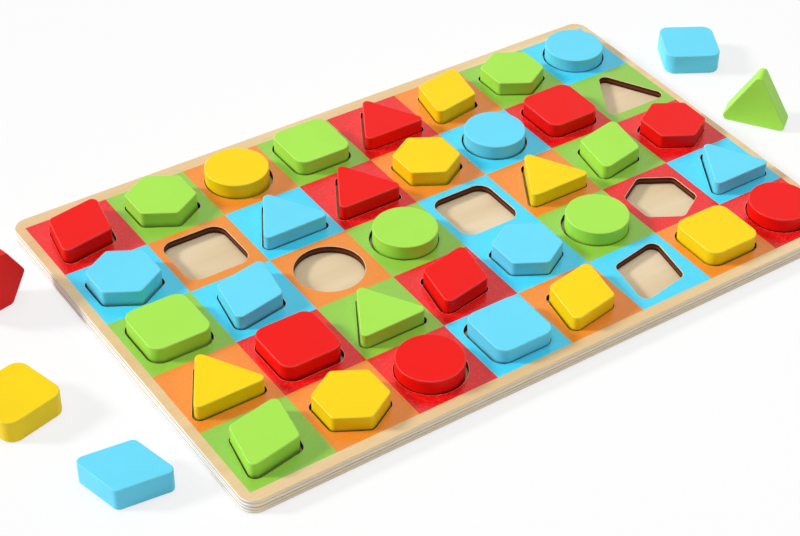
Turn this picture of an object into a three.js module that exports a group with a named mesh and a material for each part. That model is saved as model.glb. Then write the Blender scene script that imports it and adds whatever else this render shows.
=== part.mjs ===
// A wooden shape-matching puzzle: a plywood board of two glued sheets, with a grid of sockets cut
// through the upper one, and one painted wooden block for each socket. Most blocks stand in their
// sockets. The others lie or stand beside the board, as they are left in play.
// Millimetres, +Z up. The origin is the middle of the board's underside, +X runs along the board's
// long side and +Y towards its back edge.
import * as THREE from 'three';

// Board: the two sheets, the wood left between the largest sockets, and the plain border
const backingThickness = 3;
const panelThickness = 3.5;
const socketBridge = 5.26;
const sideBorder = 3.1;
const frontBorder = 5.2;
const boardCornerRadius = 6.5;

// Blocks: straight sides are measured as if they met at sharp corners, and a face round is the
// radius of a corner on the flat face, inside the sloping rim
const blockThickness = 10;
const rimSize = 0.5;
const circleDiameter = 27.7;
const squareSide = 26.7;
const squareFaceRound = 4.7;
const hexagonFlats = 26.4;
const hexagonFaceRound = 1.8;
const triangleSide = 32.8;
const triangleFaceRound = 1.8;
const triangleForward = 3.1;
const diamondSide = 23.9;
const diamondAngle = 70;
const diamondFaceRound = 2.2;

// Gap between a block and its socket, on each side
const socketPlay = 0.85;

// Fineness of the arcs: each one is cut into twice this many straight pieces
const circleFineness = 12;
const squareFineness = 2;
const cornerFineness = 1;
const boardFineness = 3;

// Which block belongs in which socket, from the back row to the front row and from left to right
const socketShapes = [
  'diamond  hexagon circle   square  triangle diamond  hexagon circle',
  'hexagon  square  triangle triangle hexagon circle   square  triangle',
  'square   diamond circle   circle  square   triangle diamond hexagon',
  'triangle square  triangle diamond hexagon  circle   hexagon triangle',
  'diamond  hexagon circle   square  diamond  diamond  square  circle',
].map((row) => row.split(/ +/));
const socketColours = [
  'red    green  yellow green red    yellow green  blue',
  'blue   yellow blue   red   yellow blue   red    green',
  'green  blue   yellow green blue   yellow green  red',
  'yellow red    green  red   blue   green  red    blue',
  'green  yellow red    blue  yellow blue   yellow red',
].map((row) => row.split(/ +/));

// Seated blocks that were pushed or turned inside their sockets, in shares of the play
const pushedBlocks = {
  red_diamond_1: { right: -0.6, back: 0.5, turned: 0 },
  green_hexagon_1: { right: -0.2, back: 0.7, turned: 0 },
  yellow_circle_1: { right: -0.5, back: 0.6, turned: 0 },
  red_triangle_1: { right: -0.4, back: -0.6, turned: 0 },
  yellow_diamond_1: { right: -0.2, back: 0.7, turned: 0 },
  green_hexagon_2: { right: -0.3, back: -0.4, turned: 0 },
  blue_circle_1: { right: -0.3, back: -0.6, turned: 0 },
  blue_hexagon_1: { right: 0, back: 0.4, turned: 0 },
  blue_triangle_1: { right: -0.5, back: -0.5, turned: 0 },
  yellow_hexagon_1: { right: 0, back: 0.6, turned: 0 },
  green_square_2: { right: 0, back: 0.4, turned: 0 },
  blue_diamond_1: { right: -0.4, back: 0, turned: 0.3 },
  green_circle_1: { right: 0.3, back: -0.6, turned: 0 },
  yellow_triangle_1: { right: 0.3, back: -0.4, turned: 0 },
  green_diamond_1: { right: 0.3, back: 0, turned: 0.5 },
  red_hexagon_1: { right: 0.2, back: -0.7, turned: 0 },
  red_square_2: { right: -0.3, back: 0.7, turned: 0 },
  green_triangle_2: { right: -0.6, back: -0.4, turned: 0.3 },
  red_diamond_2: { right: 0.2, back: -0.4, turned: 0.3 },
  blue_hexagon_2: { right: 0, back: -0.5, turned: 0 },
  green_circle_2: { right: 0.4, back: -0.7, turned: 0 },
  blue_triangle_2: { right: -0.3, back: -0.7, turned: 0 },
  green_diamond_2: { right: -0.3, back: 0.5, turned: 0.2 },
  yellow_hexagon_2: { right: 0, back: -0.4, turned: 0 },
  red_circle_1: { right: -0.7, back: -0.2, turned: 0 },
  blue_square_2: { right: 0.4, back: -0.7, turned: 0 },
  yellow_diamond_2: { right: 0.1, back: -0.7, turned: 0 },
  red_circle_2: { right: -0.5, back: -0.1, turned: 0 },
};

// Blocks out of their sockets: the board end that they are beside (1 right, -1 left), the distance
// from that end to the block's middle, the distance from the board's middle towards its back, and
// the turn in degrees
const looseBlocks = {
  yellow_square_1: { end: -1, out: 43.7, back: -1.2, turn: 14.4, standing: false },
  green_triangle_1: { end: 1, out: 24.2, back: -8.4, turn: -54.4, standing: true },
  yellow_circle_2: { end: 1, out: 28, back: -70, turn: 0, standing: false },
  blue_square_1: { end: 1, out: 31.4, back: 49.2, turn: -29.3, standing: false },
  red_hexagon_2: { end: -1, out: 26.3, back: 60, turn: 12.5, standing: true },
  blue_diamond_2: { end: -1, out: 27.4, back: -57.8, turn: 93.1, standing: false },
};

// Colours of the paint and of the bare plywood
const paints = { red: '#e3241f', yellow: '#fbd02e', green: '#92d94c', blue: '#68d2f6' };
const birchColour = '#e2c79a';
const backingColour = '#d8c7ab';

const { degToRad } = THREE.MathUtils;
const fullTurn = 2 * Math.PI;

// One corner of an outline: an arc round a point, which faces away from the outline's middle
function corner(reach, facing, sweep) {
  return { x: reach * Math.cos(facing), y: reach * Math.sin(facing), facing, sweep };
}

// An outline with equal sides, each sideReach from its middle
function regularOutline(count, sideReach, faceRound, firstFacing, fineness) {
  const radius = faceRound + rimSize;
  const reach = (sideReach - radius) / Math.cos(Math.PI / count);
  const corners = Array.from({ length: count }, (unused, index) =>
    corner(reach, firstFacing + (index * fullTurn) / count, fullTurn / count));
  return { corners, radius, sideReach, fineness, forward: 0 };
}

// A rhombus whose long diagonal points to the back right
function diamondOutline() {
  const radius = diamondFaceRound + rimSize;
  const acute = degToRad(diamondAngle);
  const side = diamondSide - (2 * radius) / Math.sin(acute);
  const reaches = [side * Math.cos(acute / 2), side * Math.sin(acute / 2)];
  const sweeps = [Math.PI - acute, acute];
  const corners = [0, 1, 2, 3].map((index) =>
    corner(reaches[index % 2], ((index + 0.5) * fullTurn) / 4, sweeps[index % 2]));
  return { corners, radius, fineness: cornerFineness, forward: 0 };
}

const outlines = {
  circle: {
    corners: [corner(0, 0, fullTurn)],
    radius: circleDiameter / 2,
    fineness: circleFineness,
    forward: 0,
  },
  square: regularOutline(4, squareSide / 2, squareFaceRound, fullTurn / 8, squareFineness),
  hexagon: regularOutline(6, hexagonFlats / 2, hexagonFaceRound, fullTurn / 12, cornerFineness),
  triangle: {
    ...regularOutline(3, triangleSide / Math.sqrt(12), triangleFaceRound, fullTurn / 4, cornerFineness),
    forward: triangleForward,
  },
  diamond: diamondOutline(),
};

// The outline drawn as arcs joined by straight sides, grown on every side by a margin
function drawOutline({ corners, radius }, margin) {
  const shape = new THREE.Shape();
  for (const { x, y, facing, sweep } of corners) {
    shape.absarc(x, y, radius + margin, facing - sweep / 2, facing + sweep / 2);
  }
  return shape;
}

// The outline of a socket as points round the middle of its cell
function socketPoints(outline) {
  const points = drawOutline(outline, socketPlay).getPoints(outline.fineness);
  return points.map((point) => new THREE.Vector2(point.x, point.y - outline.forward));
}

// The grid: its cells are as large as the largest socket and the bridge to the next one
const socketSizes = Object.values(outlines).map((outline) => {
  const size = new THREE.Box2().setFromPoints(socketPoints(outline)).getSize(new THREE.Vector2());
  return Math.max(size.x, size.y);
});
const cellPitch = Math.max(...socketSizes) + socketBridge;
const rowCount = socketShapes.length;
const columnCount = socketShapes[0].length;
const boardLength = columnCount * cellPitch + 2 * sideBorder;
const boardWidth = rowCount * cellPitch + 2 * frontBorder;

function cellMiddle(row, column) {
  const x = (column - (columnCount - 1) / 2) * cellPitch;
  const y = ((rowCount - 1) / 2 - row) * cellPitch;
  return new THREE.Vector2(x, y);
}

function boardOutline() {
  const x = boardLength / 2 - boardCornerRadius;
  const y = boardWidth / 2 - boardCornerRadius;
  const shape = new THREE.Shape();
  shape.absarc(x, y, boardCornerRadius, 0, fullTurn / 4);
  shape.absarc(-x, y, boardCornerRadius, fullTurn / 4, fullTurn / 2);
  shape.absarc(-x, -y, boardCornerRadius, fullTurn / 2, (3 * fullTurn) / 4);
  shape.absarc(x, -y, boardCornerRadius, (3 * fullTurn) / 4, fullTurn);
  return shape;
}

function sheet(name, shape, thickness, bottom, colour) {
  const geometry = new THREE.ExtrudeGeometry(shape, {
    depth: thickness,
    bevelEnabled: false,
    curveSegments: boardFineness,
  });
  const material = new THREE.MeshStandardMaterial({ color: colour, roughness: 0.6, metalness: 0 });
  const mesh = new THREE.Mesh(geometry, material);
  mesh.name = name;
  mesh.position.z = bottom;
  return mesh;
}

// The upper sheet has one socket cut through it in each cell
function socketPanel() {
  const shape = boardOutline();
  socketShapes.forEach((kinds, row) => {
    kinds.forEach((kind, column) => {
      const middle = cellMiddle(row, column);
      const points = socketPoints(outlines[kind]).map((point) => point.add(middle));
      shape.holes.push(new THREE.Path(points));
    });
  });
  return sheet('socket_panel', shape, panelThickness, backingThickness, birchColour);
}

// A block lies with its lower face on its own XY plane, with a sloping rim round both faces
function block(name, kind, colour) {
  const geometry = new THREE.ExtrudeGeometry(drawOutline(outlines[kind], 0), {
    depth: blockThickness - 2 * rimSize,
    bevelThickness: rimSize,
    bevelSize: rimSize,
    bevelOffset: -rimSize,
    bevelSegments: 1,
    curveSegments: outlines[kind].fineness,
  });
  geometry.translate(0, 0, rimSize);
  const material = new THREE.MeshStandardMaterial({ color: paints[colour], roughness: 0.35, metalness: 0 });
  const mesh = new THREE.Mesh(geometry, material);
  mesh.name = name;
  return mesh;
}

// A seated block stands on the backing board, with the same lean as its socket's outline
function seat(mesh, kind, middle) {
  const outline = outlines[kind];
  const { right, back, turned } = pushedBlocks[mesh.name] ?? { right: 0, back: 0, turned: 0 };
  const reach = Math.hypot(outline.corners[0].x, outline.corners[0].y) + outline.radius;
  const x = middle.x + right * socketPlay;
  const y = middle.y - outline.forward + back * socketPlay;
  mesh.position.set(x, y, backingThickness);
  mesh.rotation.z = turned * Math.atan2(socketPlay, reach);
  return mesh;
}

// A loose block lies flat, or stands on one of its straight sides with its face to the front
function setDown(mesh, kind, { end, out, back, turn, standing }) {
  const spot = new THREE.Group();
  spot.position.set(end * (boardLength / 2 + out), back, 0);
  spot.rotation.z = degToRad(turn);
  if (standing) {
    const { corners, sideReach } = outlines[kind];
    const sideDown = -fullTurn / 4 - (corners[0].facing + corners[1].facing) / 2;
    mesh.position.set(0, blockThickness / 2, sideReach);
    mesh.rotation.set(fullTurn / 4, 0, sideDown);
  }
  spot.add(mesh);
  return spot;
}

const puzzle = new THREE.Group();
puzzle.add(sheet('backing_board', boardOutline(), backingThickness, 0, backingColour));
puzzle.add(socketPanel());
const made = {};
socketShapes.forEach((kinds, row) => {
  kinds.forEach((kind, column) => {
    const colour = socketColours[row][column];
    const sort = `${colour}_${kind}`;
    made[sort] = (made[sort] ?? 0) + 1;
    const mesh = block(`${sort}_${made[sort]}`, kind, colour);
    const loose = looseBlocks[mesh.name];
    puzzle.add(loose ? setDown(mesh, kind, loose) : seat(mesh, kind, cellMiddle(row, column)));
  });
});

export default puzzle;
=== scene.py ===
import math

import bpy
from mathutils import Matrix, Vector


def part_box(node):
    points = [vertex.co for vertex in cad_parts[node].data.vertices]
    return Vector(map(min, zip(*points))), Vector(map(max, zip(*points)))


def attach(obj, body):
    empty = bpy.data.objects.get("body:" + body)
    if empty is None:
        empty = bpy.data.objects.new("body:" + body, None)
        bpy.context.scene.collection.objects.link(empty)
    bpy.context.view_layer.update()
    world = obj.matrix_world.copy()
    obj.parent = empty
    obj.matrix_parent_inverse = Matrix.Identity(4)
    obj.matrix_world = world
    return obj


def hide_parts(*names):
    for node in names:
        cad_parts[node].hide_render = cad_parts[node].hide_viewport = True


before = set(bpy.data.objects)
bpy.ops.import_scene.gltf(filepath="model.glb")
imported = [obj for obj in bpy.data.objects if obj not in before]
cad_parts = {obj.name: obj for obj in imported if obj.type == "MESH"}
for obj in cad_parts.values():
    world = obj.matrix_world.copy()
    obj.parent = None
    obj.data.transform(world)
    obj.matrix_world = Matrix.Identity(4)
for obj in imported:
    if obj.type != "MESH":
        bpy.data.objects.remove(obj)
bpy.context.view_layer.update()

scene = bpy.context.scene
print("frame:", len(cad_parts), "nodes")


# node helpers

def plug(tree, socket, value):  # value is another node's output or a fixed setting
    if isinstance(value, bpy.types.NodeSocket):
        tree.links.new(value, socket)
    else:
        socket.default_value = value


def addNode(tree, kind, values=None, **settings):
    node = tree.nodes.new(kind)
    for name, setting in settings.items():
        setattr(node, name, setting)
    for key, value in (values or {}).items():
        plug(tree, node.inputs[key], value)
    return node


def calc(tree, operation, first, second=0.0):
    values = {0: first, 1: second}
    return addNode(tree, "ShaderNodeMath", values, operation=operation).outputs[0]


def vectorOf(tree, x, y, z):
    return addNode(tree, "ShaderNodeCombineXYZ", {"X": x, "Y": y, "Z": z}).outputs[0]


def partsOf(tree, vector):
    return addNode(tree, "ShaderNodeSeparateXYZ", {0: vector}).outputs


# shader helpers

def toLinear(part):  # one channel of a screen colour, from 0 to 1
    return part / 12.92 if part < 0.04045 else ((part + 0.055) / 1.055) ** 2.4


def paintColour(code):  # screen colour, as #rrggbb, to the linear colour that shaders take
    parts = [int(code[place:place + 2], 16) / 255 for place in (1, 3, 5)]
    return (*map(toLinear, parts), 1.0)


def deeper(colour, share):
    return tuple(part * (1 - share) for part in colour[:3]) + (1.0,)


def startMaterial(name):
    material = bpy.data.materials.new(name)
    material.use_nodes = True
    tree = material.node_tree
    shader = tree.nodes["Principled BSDF"]
    place = addNode(tree, "ShaderNodeTexCoord").outputs["Object"]
    return material, tree, shader, place


def stretched(tree, place, scale):
    return addNode(tree, "ShaderNodeMapping", {"Vector": place, "Scale": scale}).outputs[0]


def noise(tree, place, scale, detail=2.0, roughness=0.5):
    values = {"Vector": place, "Scale": scale, "Detail": detail, "Roughness": roughness}
    return addNode(tree, "ShaderNodeTexNoise", values).outputs[0]


def spread(tree, value, low, high, newLow=0.0, newHigh=1.0):  # range to range, clamped
    values = {0: value, 1: low, 2: high, 3: newLow, 4: newHigh}
    return addNode(tree, "ShaderNodeMapRange", values).outputs[0]


def mixed(tree, share, first, second):
    values = {0: share, 6: first, 7: second}
    return addNode(tree, "ShaderNodeMix", values, data_type="RGBA").outputs[2]


def bands(tree, share, stops):  # colour ramp from a list of (position, #rrggbb)
    node = addNode(tree, "ShaderNodeValToRGB", {0: share})
    ramp = node.color_ramp
    while len(ramp.elements) < len(stops):
        ramp.elements.new(0.5)
    for element, (position, code) in zip(ramp.elements, stops):
        element.position = position
        element.color = paintColour(code)
    return node.outputs[0]


def raised(tree, height, depth, strength=1.0, under=None):  # bump, depth in metres
    values = {"Height": height, "Distance": depth, "Strength": strength}
    if under is not None:
        values["Normal"] = under
    return addNode(tree, "ShaderNodeBump", values).outputs[0]


# finishes

shown = {  # the part of a noise's range that shows
    "mottle": (0.3, 0.7),
    "wear": (0.35, 0.65),
    "streak": (0.5, 0.8),
    "speck": (0.52, 0.68),
    "pore": (0.45, 0.75),
    "wander": (0.2, 0.8),
}

gapShade = {  # painted shade, darker where a socket wall stands close; free is how open a spot is within its reach
    "colour": "#0c0503",
    "rays": 12,
    "side": {"reach": 0.0012, "free": (0.4, 0.9), "share": 0.6},  # a block's sides, painted shade near a wall
    "gap": {"reach": 0.003, "free": (0.25, 0.55), "share": 0.92},  # painted shade on socket walls in a narrow gap
}


# painted shade: mixes towards near-black where ambient occlusion finds geometry close by
def paintGapShade(tree, coat, place):
    spot = gapShade[place]
    values = {"Distance": spot["reach"]}
    node = addNode(tree, "ShaderNodeAmbientOcclusion", values, samples=gapShade["rays"])
    near = spread(tree, node.outputs["AO"], *spot["free"], spot["share"], 0.0)
    return mixed(tree, near, coat, paintColour(gapShade["colour"]))


blockPaint = {
    "red": "#f3120c",
    "yellow": "#ffdb12",
    "green": "#acec54",
    "blue": "#6de0fe",
    "rough": (0.36, 0.44),
    "rimRough": (0.12, 0.18),
    "gloss": 0.2,  # specular level of the satin coat
    "rimGloss": 0.38,
    "drift": 0.05,  # how much darker the coat is where it is thick
    "cloudScale": 40.0,
    "peelScale": 1100.0,  # orange peel, ripples in each metre
    "peelDepth": 0.00003,
    "fibreScale": (1300.0, 1300.0, 60.0),  # sanded fibres run down the sides
    "fibreDepth": 0.00003,
    "fibreBump": 0.6,
    "streak": 0.5,  # how far the fibres darken the coat
    "rimLift": 0.02,  # how much lighter the rim is: thin worn coat, and a painted highlight
    "rimTone": "#fff4dc",
}


def blockFinish(colour, onRim):
    name = f"{colour}Paint" + ("Rim" if onRim else "")
    material, tree, shader, place = startMaterial(name)
    cloud = noise(tree, place, blockPaint["cloudScale"], 3.0)
    fibres = noise(tree, stretched(tree, place, blockPaint["fibreScale"]), 1.0, 2.0)
    thin = paintColour(blockPaint[colour])
    thick = deeper(thin, blockPaint["drift"])
    coat = mixed(tree, spread(tree, cloud, *shown["mottle"]), thick, thin)
    streak = spread(tree, fibres, *shown["streak"], 0.0, blockPaint["streak"])
    coat = mixed(tree, streak, coat, thick)
    if onRim:
        # partly wear and partly a painted highlight: the rim is lifted towards a pale tone
        lift = blockPaint["rimLift"]
        wearAndHighlight = spread(tree, cloud, *shown["wear"], lift / 2, 1.5 * lift)
        coat = mixed(tree, wearAndHighlight, coat, paintColour(blockPaint["rimTone"]))
    else:
        # painted shade: the block's sides darken where a socket wall stands close
        coat = paintGapShade(tree, coat, "side")
    plug(tree, shader.inputs["Base Color"], coat)
    rough = blockPaint["rimRough" if onRim else "rough"]
    plug(tree, shader.inputs["Roughness"], spread(tree, cloud, *shown["mottle"], *rough))
    gloss = blockPaint["rimGloss" if onRim else "gloss"]
    shader.inputs["Specular IOR Level"].default_value = gloss
    peel = noise(tree, place, blockPaint["peelScale"], 1.0)
    peel = raised(tree, peel, blockPaint["peelDepth"])
    bump = raised(tree, fibres, blockPaint["fibreDepth"], blockPaint["fibreBump"], peel)
    plug(tree, shader.inputs["Normal"], bump)
    return material


printInk = {
    "red": "#ee100f",
    "orange": "#f58f26",
    "green": "#94cf42",
    "blue": "#44dcff",
    "rough": (0.14, 0.22),
    "gloss": 0.5,
    "cloudScale": 35.0,
    "speckScale": 1300.0,  # fine pale specks in the ink, painted glints of the lacquer's gloss
    "speck": 0.04,
    "speckTone": (1.0, 0.94, 0.9, 1.0),
    "fibreScale": (90.0, 1500.0, 1500.0),  # veneer fibres run along the board
    "fibreDepth": 0.00003,
    "streak": 0.6,
    "peelScale": 1500.0,
    "peelDepth": 0.0001,
    "drift": 0.07,
}


def printFinish(colour):
    material, tree, shader, place = startMaterial(f"{colour}Print")
    fibres = noise(tree, stretched(tree, place, printInk["fibreScale"]), 1.0, 3.0)
    cloud = noise(tree, place, printInk["cloudScale"], 3.0)
    thin = paintColour(printInk[colour])
    thick = deeper(thin, printInk["drift"])
    coat = mixed(tree, spread(tree, cloud, *shown["mottle"]), thick, thin)
    streak = spread(tree, fibres, *shown["streak"], 0.0, printInk["streak"])
    coat = mixed(tree, streak, coat, thick)
    # painted glints: fine pale specks mixed into the ink
    paintedGlints = noise(tree, place, printInk["speckScale"], 2.0, 0.6)
    paintedGlints = spread(tree, paintedGlints, *shown["speck"], 0.0, printInk["speck"])
    coat = mixed(tree, paintedGlints, coat, printInk["speckTone"])
    plug(tree, shader.inputs["Base Color"], coat)
    rough = spread(tree, fibres, *shown["mottle"], *printInk["rough"])
    plug(tree, shader.inputs["Roughness"], rough)
    shader.inputs["Specular IOR Level"].default_value = printInk["gloss"]
    peel = noise(tree, place, printInk["peelScale"], 2.0)
    peel = raised(tree, peel, printInk["peelDepth"])
    bump = raised(tree, fibres, printInk["fibreDepth"], under=peel)
    plug(tree, shader.inputs["Normal"], bump)
    return material


veneer = {
    "border": ("#dfbb85", "#efd4a4"),
    "lip": ("#e2c69a", "#f3dfbb"),  # freshly sanded edges of the top sheet, paler partly as bare wood and partly as a painted highlight along the socket rims
    "floor": ("#dcc39a", "#efdcba"),
    "under": ("#d6bd95", "#ead5b0"),
    "rough": {
        "border": (0.24, 0.36), "lip": (0.4, 0.5), "floor": (0.5, 0.62), "under": (0.55, 0.7),
    },
    "fibreScale": (70.0, 1300.0, 1300.0),
    "figureScale": (7.0, 60.0, 60.0),  # broad figure of the peeled sheet
    "fibreDepth": 0.00007,
    "streak": 0.6,
}


def veneerFinish(part):
    material, tree, shader, place = startMaterial(f"{part}Veneer")
    fibres = noise(tree, stretched(tree, place, veneer["fibreScale"]), 1.0, 4.0, 0.6)
    figure = noise(tree, stretched(tree, place, veneer["figureScale"]), 1.0, 3.0)
    dark, light = (paintColour(code) for code in veneer[part])
    wood = mixed(tree, spread(tree, figure, *shown["mottle"]), dark, light)
    streak = spread(tree, fibres, *shown["streak"], 0.0, veneer["streak"])
    wood = mixed(tree, streak, wood, dark)
    plug(tree, shader.inputs["Base Color"], wood)
    rough = spread(tree, fibres, *shown["mottle"], *veneer["rough"][part])
    plug(tree, shader.inputs["Roughness"], rough)
    plug(tree, shader.inputs["Normal"], raised(tree, fibres, veneer["fibreDepth"]))
    return material


plyEdge = {
    # plies from the underside to the top face of one sheet
    "sawn": [  # on the board's long sides
        (0.0, "#cdb698"), (0.06, "#e2cba9"), (0.14, "#fff4dc"), (0.44, "#fff4dc"),
        (0.50, "#bb9f80"), (0.56, "#fde8c8"), (0.88, "#feeaca"), (1.0, "#ffeccc"),
    ],
    "sawnEnd": [  # on its ends, where the plies change places
        (0.0, "#c8c0b4"), (0.10, "#cdc6bc"), (0.18, "#fffaf3"), (0.42, "#fffaf3"),
        (0.48, "#c6beb3"), (0.68, "#d6d0c7"), (0.75, "#fffcf6"), (1.0, "#fffaf0"),
    ],
    "burnt": [
        (0.0, "#2a110a"), (0.30, "#4f210f"), (0.34, "#1c0a06"), (0.40, "#7d3f20"),
        (0.60, "#6f351a"), (0.66, "#280f08"), (0.72, "#502110"), (1.0, "#30130c"),
    ],
    "endTurn": (0.5, 0.8),  # how far a face looks along the board before it counts as an end
    "waver": 0.1,  # how far a glue line wanders, in shares of the sheet
    "waverScale": 45.0,
    "speck": 0.15,  # how dark the open pores are
    "poreTone": {"sawn": "#b09a84", "burnt": "#180c08"},
    "poreScale": (260.0, 260.0, 2400.0),
    "poreDepth": 0.0001,
    "rough": 0.6,
    "gloss": 0.2,
}


def edgeFinish(cut, low, high):  # the plies of a sheet between two heights
    material, tree, shader, place = startMaterial(f"{cut}Edge{round(low * 10000)}")
    height = partsOf(tree, place)["Z"]
    half = plyEdge["waver"] / 2
    waver = noise(tree, place, plyEdge["waverScale"])
    waver = spread(tree, waver, *shown["wander"], -half, half)
    pores = noise(tree, stretched(tree, place, plyEdge["poreScale"]), 1.0, 3.0, 0.6)
    share = calc(tree, "ADD", spread(tree, height, low, high), waver)
    plies = bands(tree, share, plyEdge[cut])
    if cut == "sawn":
        way = addNode(tree, "ShaderNodeTexCoord").outputs["Normal"]
        along = calc(tree, "ABSOLUTE", partsOf(tree, way)["X"])
        atEnd = spread(tree, along, *plyEdge["endTurn"])
        plies = mixed(tree, atEnd, plies, bands(tree, share, plyEdge["sawnEnd"]))
    speck = spread(tree, pores, *shown["pore"], 0.0, plyEdge["speck"])
    plies = mixed(tree, speck, plies, paintColour(plyEdge["poreTone"][cut]))
    if cut == "burnt":
        # painted shade: the burnt walls darken deep in a narrow gap
        plies = paintGapShade(tree, plies, "gap")
    plug(tree, shader.inputs["Base Color"], plies)
    shader.inputs["Roughness"].default_value = plyEdge["rough"]
    shader.inputs["Specular IOR Level"].default_value = plyEdge["gloss"]
    plug(tree, shader.inputs["Normal"], raised(tree, pores, plyEdge["poreDepth"]))
    return material


# outlines of the blocks and of their sockets, in metres

shapes = {  # corner angle and turn in degrees; turn is how the shape lies in its socket
    "circle": {
        "corners": 4, "sideReach": 0.01385, "round": 0.0138, "angle": 90, "turn": 0, "steps": 24,
    },
    "square": {
        "corners": 4, "sideReach": 0.01335, "round": 0.0052, "angle": 90, "turn": 45, "steps": 12,
    },
    "hexagon": {
        "corners": 6, "sideReach": 0.0132, "round": 0.0023, "angle": 90, "turn": 30, "steps": 8,
    },
    "triangle": {
        "corners": 3, "sideReach": 0.009469, "round": 0.0023, "angle": 90, "turn": 90, "steps": 12,
    },
    "diamond": {
        "corners": 4, "sideReach": 0.011229, "round": 0.0027, "angle": 70, "turn": 45, "steps": 10,
    },
}
shapeKinds = list(shapes)
meshing = {
    "weld": 0.000002,  # points nearer than this are one
    "rimAngle": 50,  # edges that turn more than this many degrees are rounded
    "sharpAngle": 20,  # and on the sheets those over this stay crisp
    "rimSlot": 20,  # number that the rounded edges' faces carry until their finish is set
}


def startTree(name, inputs):
    tree = bpy.data.node_groups.new(name, "GeometryNodeTree")
    for label, kind in inputs.items():
        tree.interface.new_socket(label, in_out="INPUT", socket_type=f"NodeSocket{kind}")
    tree.interface.new_socket("Geometry", in_out="OUTPUT", socket_type="NodeSocketGeometry")
    given = addNode(tree, "NodeGroupInput").outputs
    result = addNode(tree, "NodeGroupOutput").inputs[0]
    return tree, given, result


def joined(tree, parts):
    node = addNode(tree, "GeometryNodeJoinGeometry")
    for part in parts:
        tree.links.new(part, node.inputs[0])
    return node.outputs[0]


def finished(tree, geometry, selection, material):
    values = {"Geometry": geometry, "Selection": selection, "Material": material}
    return addNode(tree, "GeometryNodeSetMaterial", values).outputs[0]


def welded(tree, geometry):
    values = {"Geometry": geometry, "Distance": meshing["weld"]}
    return addNode(tree, "GeometryNodeMergeByDistance", values).outputs[0]


def filled(tree, curves):
    values = {"Curve": joined(tree, curves)}
    return addNode(tree, "GeometryNodeFillCurve", values, mode="NGONS").outputs[0]


def smoothed(tree, solid):  # smooth shading, with no instances left
    solid = addNode(tree, "GeometryNodeSetShadeSmooth", {"Geometry": solid}).outputs[0]
    return addNode(tree, "GeometryNodeRealizeInstances", {"Geometry": solid}).outputs[0]


def thickened(tree, sheet, thickness):  # a flat sheet grown downwards, with its new faces named
    under = addNode(tree, "GeometryNodeFlipFaces", {"Mesh": sheet}).outputs[0]
    down = vectorOf(tree, 0.0, 0.0, -1.0)
    values = {"Mesh": under, "Offset": down, "Offset Scale": thickness, "Individual": False}
    return addNode(tree, "GeometryNodeExtrudeMesh", values, mode="FACES").outputs


outlineInputs = {
    "Corners": "Int", "Side Reach": "Float", "Long Stretch": "Float", "Cross Stretch": "Float",
    "Corner Round": "Float", "Arc Steps": "Int",
}


def outlineTree():  # a polygon with its first corner on +X and rounded corners
    tree, given, result = startTree("shapeOutline", outlineInputs)
    half = calc(tree, "COSINE", calc(tree, "DIVIDE", math.pi, given["Corners"]))
    reach = calc(tree, "DIVIDE", given["Side Reach"], half)
    values = {"Resolution": given["Corners"], "Radius": reach}
    ring = addNode(tree, "GeometryNodeCurvePrimitiveCircle", values, mode="RADIUS").outputs[0]
    scale = vectorOf(tree, given["Long Stretch"], given["Cross Stretch"], 1.0)
    ring = addNode(tree, "GeometryNodeTransform", {"Geometry": ring, "Scale": scale}).outputs[0]
    values = {
        "Curve": ring, "Count": given["Arc Steps"], "Radius": given["Corner Round"],
        "Limit Radius": True,
    }
    plug(tree, result, addNode(tree, "GeometryNodeFilletCurve", values, mode="POLY").outputs[0])
    return tree


shapeOutline = outlineTree()


def outlineSizes(kind):
    shape = shapes[kind]
    half = math.radians(shape["angle"]) / 2
    return {
        "Corners": shape["corners"],
        "Side Reach": shape["sideReach"],
        "Long Stretch": math.sqrt(0.5) / math.sin(half),
        "Cross Stretch": math.sqrt(0.5) / math.cos(half),
        "Corner Round": shape["round"],
        "Arc Steps": shape["steps"],
    }


def modelMesh(name, tree, sizes, rim, base=None):  # a tree's result with rounded edges, as a mesh
    maker = bpy.data.objects.new(name, base or bpy.data.meshes.new(name))
    scene.collection.objects.link(maker)
    modifier = maker.modifiers.new("shape", "NODES")
    modifier.node_group = tree
    for item in tree.interface.items_tree:
        if item.in_out == "INPUT" and item.name in sizes:
            modifier[item.identifier] = sizes[item.name]
    for slot in range(meshing["rimSlot"] + 1):
        maker.data.materials.append(None)
    bevel = maker.modifiers.new("rim", "BEVEL")
    bevel.width = rim["size"]
    bevel.segments = rim["steps"]
    bevel.limit_method = "ANGLE"
    bevel.angle_limit = math.radians(meshing["rimAngle"])
    bevel.material = meshing["rimSlot"]
    bevel.harden_normals = rim["harden"]
    depsgraph = bpy.context.evaluated_depsgraph_get()
    mesh = bpy.data.meshes.new_from_object(
        maker.evaluated_get(depsgraph), preserve_all_data_layers=True, depsgraph=depsgraph)
    bpy.data.objects.remove(maker)
    setFinishes(mesh, rim)
    return mesh


def setFinishes(mesh, rim):  # one slot for each finish in use, with the rounded edges' own
    found = list(mesh.materials)
    used = []
    for face in mesh.polygons:
        if face.material_index == meshing["rimSlot"]:
            used.append(rim["above"] if face.normal.z > 0 else rim["below"])
        else:
            used.append(found[face.material_index])
    finishes = sorted(set(used), key=lambda finish: finish.name)
    mesh.materials.clear()
    for finish in finishes:
        mesh.materials.append(finish)
    mesh.polygons.foreach_set("material_index", [finishes.index(finish) for finish in used])


# blocks

block = {"rim": 0.0005, "rimSteps": 3}


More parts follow.
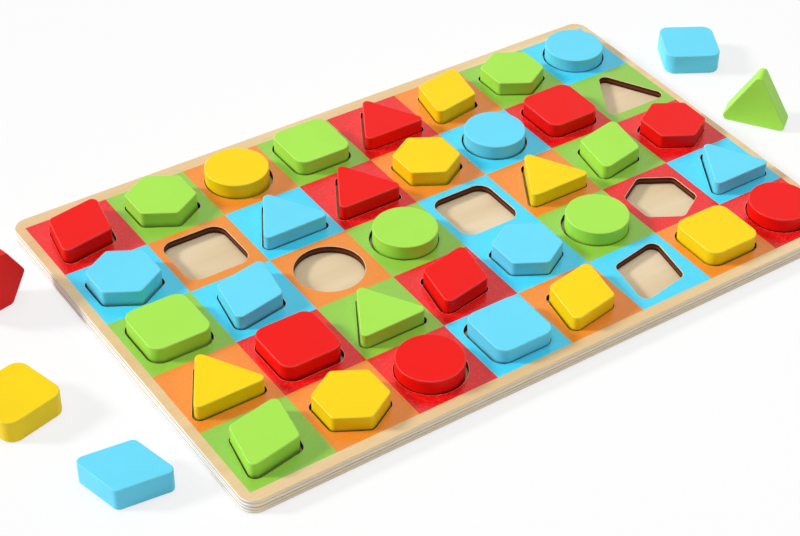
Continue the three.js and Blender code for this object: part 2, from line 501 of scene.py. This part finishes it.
def blockTree():
    inputs = {**outlineInputs, "Thickness": "Float", "Paint": "Material"}
    tree, given, result = startTree("puzzleBlock", inputs)
    outline = addNode(tree, "GeometryNodeGroup", node_tree=shapeOutline)
    for name in outlineInputs:
        plug(tree, outline.inputs[name], given[name])
    face = filled(tree, [outline.outputs[0]])
    solid = joined(tree, [face, thickened(tree, face, given["Thickness"])["Mesh"]])
    middle = vectorOf(tree, 0.0, 0.0, calc(tree, "MULTIPLY", given["Thickness"], 0.5))
    values = {"Geometry": welded(tree, solid), "Translation": middle}
    solid = smoothed(tree, addNode(tree, "GeometryNodeTransform", values).outputs[0])
    plug(tree, result, finished(tree, solid, True, given["Paint"]))
    return tree


def blockPlace(node):  # middle, axes and thickness of a block, read from its model
    spots = {tuple(round(part, 6) for part in vertex.co) for vertex in node.data.vertices}
    points = [Vector(spot) for spot in sorted(spots)]
    middle = sum(points, Vector()) / len(points)
    faces = {}
    for face in node.data.polygons:
        way = tuple(round(part, 2) for part in face.normal)
        faces[way] = faces.get(way, Vector()) + face.normal * face.area
    axis = max(faces.values(), key=lambda way: (round(way.length, 7), way.z - way.y))
    axis.normalize()
    heights = [(point - middle).dot(axis) for point in points]
    flat = [point - middle - axis * height for point, height in zip(points, heights)]
    tip = max(flat, key=lambda way: round(way.length, 6)).normalized()
    axes = Matrix((tip, axis.cross(tip), axis)).transposed().to_4x4()
    return Matrix.Translation(middle) @ axes, max(heights) - min(heights)


def makeBlocks():
    tree = blockTree()
    paints = {}
    for colour in ("red", "yellow", "green", "blue"):
        paints[colour] = [blockFinish(colour, False), blockFinish(colour, True)]
    made = 0
    for name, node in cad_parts.items():
        colour, kind, *rest = name.split("_")
        if kind not in shapes:
            continue
        place, thickness = blockPlace(node)
        paint, rimPaint = paints[colour]
        sizes = {**outlineSizes(kind), "Thickness": thickness, "Paint": paint}
        rim = {"size": block["rim"], "steps": block["rimSteps"], "harden": True,
               "above": rimPaint, "below": rimPaint}
        mesh = modelMesh(f"{name}_block", tree, sizes, rim)
        mesh.transform(place)
        piece = bpy.data.objects.new(f"{name}_block", mesh)
        scene.collection.objects.link(piece)
        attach(piece, name)
        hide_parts(name)
        made += 1
    print("blocks:", made)


makeBlocks()


# board

board = {
    "sideBorder": 0.0031,
    "printPitch": 0.0365725,  # the printed squares are a little nearer together than the sockets,
    "printShift": (0.0003, -0.0004, 0.0),  # and lie a little off them
    "cornerReach": 0.01,  # points this near a corner of the grid move with the print, in cells
    "cornerRadius": 0.0065,
    "cornerSteps": 12,
    "socketPlay": 0.00085,
    "triangleForward": 0.0031,  # a triangle's middle lies this far in front of its cell's
    "lip": 0.00025,
    "lipSteps": 2,
}
layout = [  # sockets from the back row to the front row, left to right
    "red diamond, green hexagon, orange circle, green square,"
    " red triangle, orange diamond, green hexagon, blue circle",
    "blue hexagon, orange square, blue triangle, red triangle,"
    " orange hexagon, blue circle, red square, green triangle",
    "green square, blue diamond, orange circle, green circle,"
    " blue square, orange triangle, green diamond, red hexagon",
    "orange triangle, red square, green triangle, red diamond,"
    " blue hexagon, green circle, red hexagon, blue triangle",
    "green diamond, orange hexagon, red circle, blue square,"
    " orange diamond, blue diamond, orange square, red circle",
]
cells = [[cell.split() for cell in row.split(", ")] for row in layout]
inkNames = ["red", "orange", "green", "blue"]


def namedNumber(tree, name):
    node = addNode(tree, "GeometryNodeInputNamedAttribute", {"Name": name}, data_type="INT")
    return node.outputs[0]


def sameNumber(tree, value, number):
    values = {2: value, 3: number}
    node = addNode(tree, "FunctionNodeCompare", values, data_type="INT", operation="EQUAL")
    return node.outputs[0]


def rectangle(tree, length, width):
    values = {"Width": length, "Height": width}
    node = addNode(tree, "GeometryNodeCurvePrimitiveQuadrilateral", values, mode="RECTANGLE")
    return node.outputs[0]


def boardOutline(tree, length, width, radius):
    values = {
        "Curve": rectangle(tree, length, width), "Count": board["cornerSteps"], "Radius": radius,
        "Limit Radius": True,
    }
    return addNode(tree, "GeometryNodeFilletCurve", values, mode="POLY").outputs[0]


def socketTile(tree, given, kind):  # one cell of the board's face, open where its socket is
    outline = addNode(tree, "GeometryNodeGroup", outlineSizes(kind), node_tree=shapeOutline)
    for name in ("Side Reach", "Corner Round"):
        grown = calc(tree, "ADD", outline.inputs[name].default_value, given["Socket Play"])
        plug(tree, outline.inputs[name], grown)
    forward = given["Triangle Forward"] if kind == "triangle" else 0.0
    values = {
        "Geometry": outline.outputs[0],
        "Translation": vectorOf(tree, 0.0, calc(tree, "MULTIPLY", forward, -1.0), 0.0),
        "Rotation": (0.0, 0.0, math.radians(shapes[kind]["turn"])),
    }
    hole = addNode(tree, "GeometryNodeTransform", values).outputs[0]
    cell = rectangle(tree, given["Cell Pitch"], given["Cell Pitch"])
    return filled(tree, [cell, hole])


def borderFace(tree, given):  # the bare strip between the printed cells and the board's edge
    values = {
        "Size X": calc(tree, "MULTIPLY", given["Cell Pitch"], given["Columns"]),
        "Size Y": calc(tree, "MULTIPLY", given["Cell Pitch"], given["Rows"]),
        "Vertices X": calc(tree, "ADD", given["Columns"], 1.0),
        "Vertices Y": calc(tree, "ADD", given["Rows"], 1.0),
    }
    grid = addNode(tree, "GeometryNodeMeshGrid", values).outputs[0]
    neighbours = addNode(tree, "GeometryNodeInputMeshEdgeNeighbors").outputs[0]
    values = {"Mesh": grid, "Selection": sameNumber(tree, neighbours, 1)}
    inner = addNode(tree, "GeometryNodeMeshToCurve", values).outputs[0]
    outer = boardOutline(tree, given["Length"], given["Width"], given["Corner Radius"])
    return filled(tree, [inner, outer])


def outsideGrid(tree, given):  # true on what lies beyond the printed cells
    parts = partsOf(tree, addNode(tree, "GeometryNodeInputPosition").outputs[0])
    beyond = []
    for axis, count in (("X", "Columns"), ("Y", "Rows")):
        whole = calc(tree, "MULTIPLY", given["Cell Pitch"], given[count])
        half = calc(tree, "MULTIPLY", whole, 0.5)
        beyond.append(calc(tree, "GREATER_THAN", calc(tree, "ABSOLUTE", parts[axis]), half))
    return calc(tree, "MAXIMUM", *beyond)


def printedOff(tree, face, given):  # moves the printed squares' corners off the socket grid
    place = addNode(tree, "GeometryNodeInputPosition").outputs[0]
    parts = partsOf(tree, place)
    aside = []
    for axis, count in (("X", "Columns"), ("Y", "Rows")):
        steps = calc(tree, "DIVIDE", parts[axis], given["Cell Pitch"])
        steps = calc(tree, "ADD", steps, calc(tree, "MULTIPLY", given[count], 0.5))
        aside.append(calc(tree, "PINGPONG", steps, 0.5))
    corner = calc(tree, "LESS_THAN", calc(tree, "MAXIMUM", *aside), board["cornerReach"])
    growth = calc(tree, "DIVIDE", given["Print Pitch"], given["Cell Pitch"])
    values = {0: place, "Scale": calc(tree, "SUBTRACT", growth, 1.0)}
    offset = addNode(tree, "ShaderNodeVectorMath", values, operation="SCALE").outputs[0]
    values = {0: offset, 1: given["Print Shift"]}
    offset = addNode(tree, "ShaderNodeVectorMath", values).outputs[0]
    values = {"Geometry": face, "Selection": corner, "Offset": offset}
    return addNode(tree, "GeometryNodeSetPosition", values).outputs[0]


def panelTree():
    inputs = {
        "Cells": "Geometry", "Cell Pitch": "Float", "Rows": "Int", "Columns": "Int",
        "Print Pitch": "Float", "Print Shift": "Vector",
        "Length": "Float", "Width": "Float", "Corner Radius": "Float", "Thickness": "Float",
        "Socket Play": "Float", "Triangle Forward": "Float",
        "Border": "Material", "Edge": "Material", "Socket Wall": "Material", "Under": "Material",
        **{f"{ink} print": "Material" for ink in inkNames},
    }
    tree, given, result = startTree("socketPanel", inputs)
    kind, ink = namedNumber(tree, "socketKind"), namedNumber(tree, "ink")
    tiles = []
    for number, name in enumerate(shapeKinds):
        values = {
            "Points": given["Cells"], "Selection": sameNumber(tree, kind, number),
            "Instance": socketTile(tree, given, name),
        }
        tiles.append(addNode(tree, "GeometryNodeInstanceOnPoints", values).outputs[0])
    values = {"Geometry": joined(tree, tiles)}
    face = addNode(tree, "GeometryNodeRealizeInstances", values).outputs[0]
    for number, name in enumerate(inkNames):
        face = finished(tree, face, sameNumber(tree, ink, number), given[f"{name} print"])
    border = finished(tree, borderFace(tree, given), True, given["Border"])
    face = printedOff(tree, welded(tree, joined(tree, [face, border])), given)
    grown = thickened(tree, face, given["Thickness"])
    rest = finished(tree, grown["Mesh"], grown["Top"], given["Under"])
    rest = finished(tree, rest, grown["Side"], given["Socket Wall"])
    solid = smoothed(tree, welded(tree, joined(tree, [face, rest])))
    values = {0: grown["Side"], 1: outsideGrid(tree, given)}
    outer = addNode(tree, "FunctionNodeBooleanMath", values, operation="AND").outputs[0]
    plug(tree, result, finished(tree, solid, outer, given["Edge"]))
    return tree


def sheetTree():
    inputs = {"Length": "Float", "Width": "Float", "Corner Radius": "Float", "Thickness": "Float",
              "Face": "Material", "Edge": "Material", "Under": "Material"}
    tree, given, result = startTree("backingSheet", inputs)
    outline = boardOutline(tree, given["Length"], given["Width"], given["Corner Radius"])
    face = finished(tree, filled(tree, [outline]), True, given["Face"])
    grown = thickened(tree, face, given["Thickness"])
    rest = finished(tree, grown["Mesh"], grown["Top"], given["Under"])
    solid = smoothed(tree, welded(tree, joined(tree, [face, rest])))
    plug(tree, result, finished(tree, solid, grown["Side"], given["Edge"]))
    return tree


def cellPoints(pitch):  # one point for each socket, with its shape and its ink
    lastRow, lastColumn = len(cells) - 1, len(cells[0]) - 1
    places, kinds, inks = [], [], []
    for row, line in enumerate(cells):
        for column, (ink, kind) in enumerate(line):
            x, y = (column - lastColumn / 2) * pitch, (lastRow / 2 - row) * pitch
            places.append((x, y, 0.0))
            kinds.append(shapeKinds.index(kind))
            inks.append(inkNames.index(ink))
    mesh = bpy.data.meshes.new("cells")
    mesh.from_pydata(places, [], [])
    for name, numbers in (("socketKind", kinds), ("ink", inks)):
        mesh.attributes.new(name, "INT", "POINT").data.foreach_set("value", numbers)
    return mesh


def placeSheet(name, mesh, top, node):
    mesh.set_sharp_from_angle(angle=math.radians(meshing["sharpAngle"]))
    mesh.transform(Matrix.Translation((0.0, 0.0, top)))
    piece = bpy.data.objects.new(name, mesh)
    scene.collection.objects.link(piece)
    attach(piece, "board")
    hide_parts(node)


def makeBoard():
    low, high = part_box("socket_panel")
    backLow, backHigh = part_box("backing_board")
    length, width = high.x - low.x, high.y - low.y
    pitch = (length - 2 * board["sideBorder"]) / len(cells[0])
    border, edge = veneerFinish("border"), edgeFinish("sawn", low.z, high.z)
    wall, under = edgeFinish("burnt", low.z, high.z), veneerFinish("under")
    prints = {f"{ink} print": printFinish(ink) for ink in inkNames}
    sizes = {
        "Length": length, "Width": width, "Corner Radius": board["cornerRadius"],
        "Thickness": high.z - low.z,
        "Cell Pitch": pitch, "Rows": len(cells), "Columns": len(cells[0]),
        "Print Pitch": board["printPitch"], "Print Shift": board["printShift"],
        "Socket Play": board["socketPlay"], "Triangle Forward": board["triangleForward"],
        "Border": border, "Edge": edge, "Socket Wall": wall, "Under": under, **prints,
    }
    rim = {"size": board["lip"], "steps": board["lipSteps"], "harden": False,
           "above": veneerFinish("lip"), "below": wall}
    mesh = modelMesh("printed_panel", panelTree(), sizes, rim, cellPoints(pitch))
    placeSheet("printed_panel", mesh, high.z, "socket_panel")
    floor, backEdge = veneerFinish("floor"), edgeFinish("sawn", backLow.z, backHigh.z)
    sizes.update({"Thickness": backHigh.z - backLow.z, "Face": floor, "Edge": backEdge})
    rim = {**rim, "above": backEdge, "below": backEdge}
    mesh = modelMesh("backing_sheet", sheetTree(), sizes, rim)
    placeSheet("backing_sheet", mesh, backHigh.z, "backing_board")
    print("board: pitch", round(pitch, 5), "m")


makeBoard()


# table, light and camera

studio = {
    "floorSize": 16.0,
    "floorDrop": 0.0002,  # keeps the floor clear of the board's underside
    "floorTones": (0.93, 0.95),
    "floorToneScale": 3.0,
    "floorRough": 0.9,
    "floorGlow": 0.7,  # share of plain white that the camera sees on the floor
    "white": (1.0, 1.0, 1.0, 1.0),
    "ambient": (0.46, 0.16),  # light from all round, on its bright side and on its dark side
    "darkSide": -170.0,  # degrees, from +X towards +Y
    "soft": 5.8,  # watts of the large lamp overhead
    "softSize": 0.9,
    "softPlace": (-0.05, -0.05, 1.2),
    "sun": {"key": 2.4, "glint": 0.6},  # the glint shows on gloss alone
    "sunAngle": {"key": 11.0, "glint": 36.0},  # degrees across, for soft shadows and a faint sheen
    "sunFrom": (-0.81, 0.58),  # the key light stands to the left and behind
    "sunElevation": 28.5,
}


def seenPlainly(tree):  # 1 for what the camera sees, also by gloss or through glass
    ray = addNode(tree, "ShaderNodeLightPath").outputs
    seen = calc(tree, "MAXIMUM", ray["Is Camera Ray"], ray["Is Glossy Ray"])
    return calc(tree, "MAXIMUM", seen, ray["Is Transmission Ray"])


def makeFloor():
    half = studio["floorSize"] / 2
    corners = [(-half, -half, 0), (half, -half, 0), (half, half, 0), (-half, half, 0)]
    mesh = bpy.data.meshes.new("floor")
    mesh.from_pydata(corners, [], [(0, 1, 2, 3)])
    material, tree, shader, place = startMaterial("tableTop")
    tone = noise(tree, place, studio["floorToneScale"])
    pale, paler = ((grey, grey, grey, 1.0) for grey in studio["floorTones"])
    plug(tree, shader.inputs["Base Color"], mixed(tree, tone, pale, paler))
    shader.inputs["Roughness"].default_value = studio["floorRough"]
    shader.inputs["Specular IOR Level"].default_value = 0.0
    values = {"Color": studio["white"], "Strength": 1.0}
    glow = addNode(tree, "ShaderNodeEmission", values)
    share = calc(tree, "MULTIPLY", seenPlainly(tree), studio["floorGlow"])
    values = {0: share, 1: shader.outputs[0], 2: glow.outputs[0]}
    both = addNode(tree, "ShaderNodeMixShader", values)
    plug(tree, tree.nodes["Material Output"].inputs["Surface"], both.outputs[0])
    mesh.materials.append(material)
    floor = bpy.data.objects.new("floor", mesh)
    floor.location.z = -studio["floorDrop"]
    scene.collection.objects.link(floor)


def makeWorld():
    world = bpy.data.worlds.new("studio")
    world.use_nodes = True
    scene.world = world
    tree = world.node_tree
    fill = tree.nodes["Background"]
    fill.inputs["Color"].default_value = studio["white"]
    turn = math.radians(studio["darkSide"])
    towards = (math.cos(turn), math.sin(turn), 0.0)
    values = {0: addNode(tree, "ShaderNodeTexCoord").outputs["Generated"], 1: towards}
    facing = addNode(tree, "ShaderNodeVectorMath", values, operation="DOT_PRODUCT")
    strength = spread(tree, facing.outputs["Value"], -1.0, 1.0, *studio["ambient"])
    plug(tree, fill.inputs["Strength"], strength)
    values = {"Color": studio["white"], "Strength": 1.0}
    white = addNode(tree, "ShaderNodeBackground", values)
    values = {0: seenPlainly(tree), 1: fill.outputs[0], 2: white.outputs[0]}
    both = addNode(tree, "ShaderNodeMixShader", values)
    plug(tree, tree.nodes["World Output"].inputs["Surface"], both.outputs[0])


def makeLamps():
    lift = math.radians(studio["sunElevation"])
    side = Vector((*studio["sunFrom"], 0.0)).normalized() * math.cos(lift)
    shine = -side - Vector((0.0, 0.0, math.sin(lift)))
    for name, strength in studio["sun"].items():
        sun = bpy.data.lights.new(name, "SUN")
        sun.energy = strength
        sun.angle = math.radians(studio["sunAngle"][name])
        lamp = bpy.data.objects.new(name, sun)
        lamp.rotation_mode = "QUATERNION"
        lamp.rotation_quaternion = shine.to_track_quat("-Z", "Y")
        lamp.visible_diffuse = name == "key"
        lamp.visible_glossy = name == "glint"
        scene.collection.objects.link(lamp)
    panel = bpy.data.lights.new("soft", "AREA")
    panel.energy = studio["soft"]
    panel.size = studio["softSize"]
    soft = bpy.data.objects.new("soft", panel)
    soft.location = studio["softPlace"]
    soft.rotation_mode = "QUATERNION"
    soft.rotation_quaternion = (-soft.location).to_track_quat("-Z", "Y")
    soft.visible_glossy = False
    scene.collection.objects.link(soft)


photoView = {
    "aim": (0.02471, -0.05172),  # where the lens axis meets the board's face
    "distance": 0.7894,
    "azimuth": -130.303,  # degrees, from +X towards +Y
    "elevation": 39.065,
    "roll": 4.496,
    "lens": 85.485,
    "sensor": 36.0,
    "shift": -0.2,
    "nearest": 0.01,
}


def makeCamera():
    lens = bpy.data.cameras.new("photoView")
    lens.lens = photoView["lens"]
    lens.sensor_width = photoView["sensor"]
    lens.shift_x = photoView["shift"]
    lens.clip_start = photoView["nearest"]
    camera = bpy.data.objects.new("photoView", lens)
    turn, lift = math.radians(photoView["azimuth"]), math.radians(photoView["elevation"])
    level = math.cos(lift)
    back = Vector((math.cos(turn) * level, math.sin(turn) * level, math.sin(lift)))
    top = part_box("socket_panel")[1].z
    camera.location = Vector((*photoView["aim"], top)) + back * photoView["distance"]
    roll = Matrix.Rotation(math.radians(photoView["roll"]), 3, "Z")
    camera.rotation_mode = "QUATERNION"
    aimed = (-back).to_track_quat("-Z", "Y").to_matrix()
    camera.rotation_quaternion = (aimed @ roll).to_quaternion()
    scene.collection.objects.link(camera)
    scene.camera = camera


makeFloor()
makeWorld()
makeLamps()
makeCamera()
scene.view_settings.view_transform = "Standard"
print("studio: floor, lamps and camera")
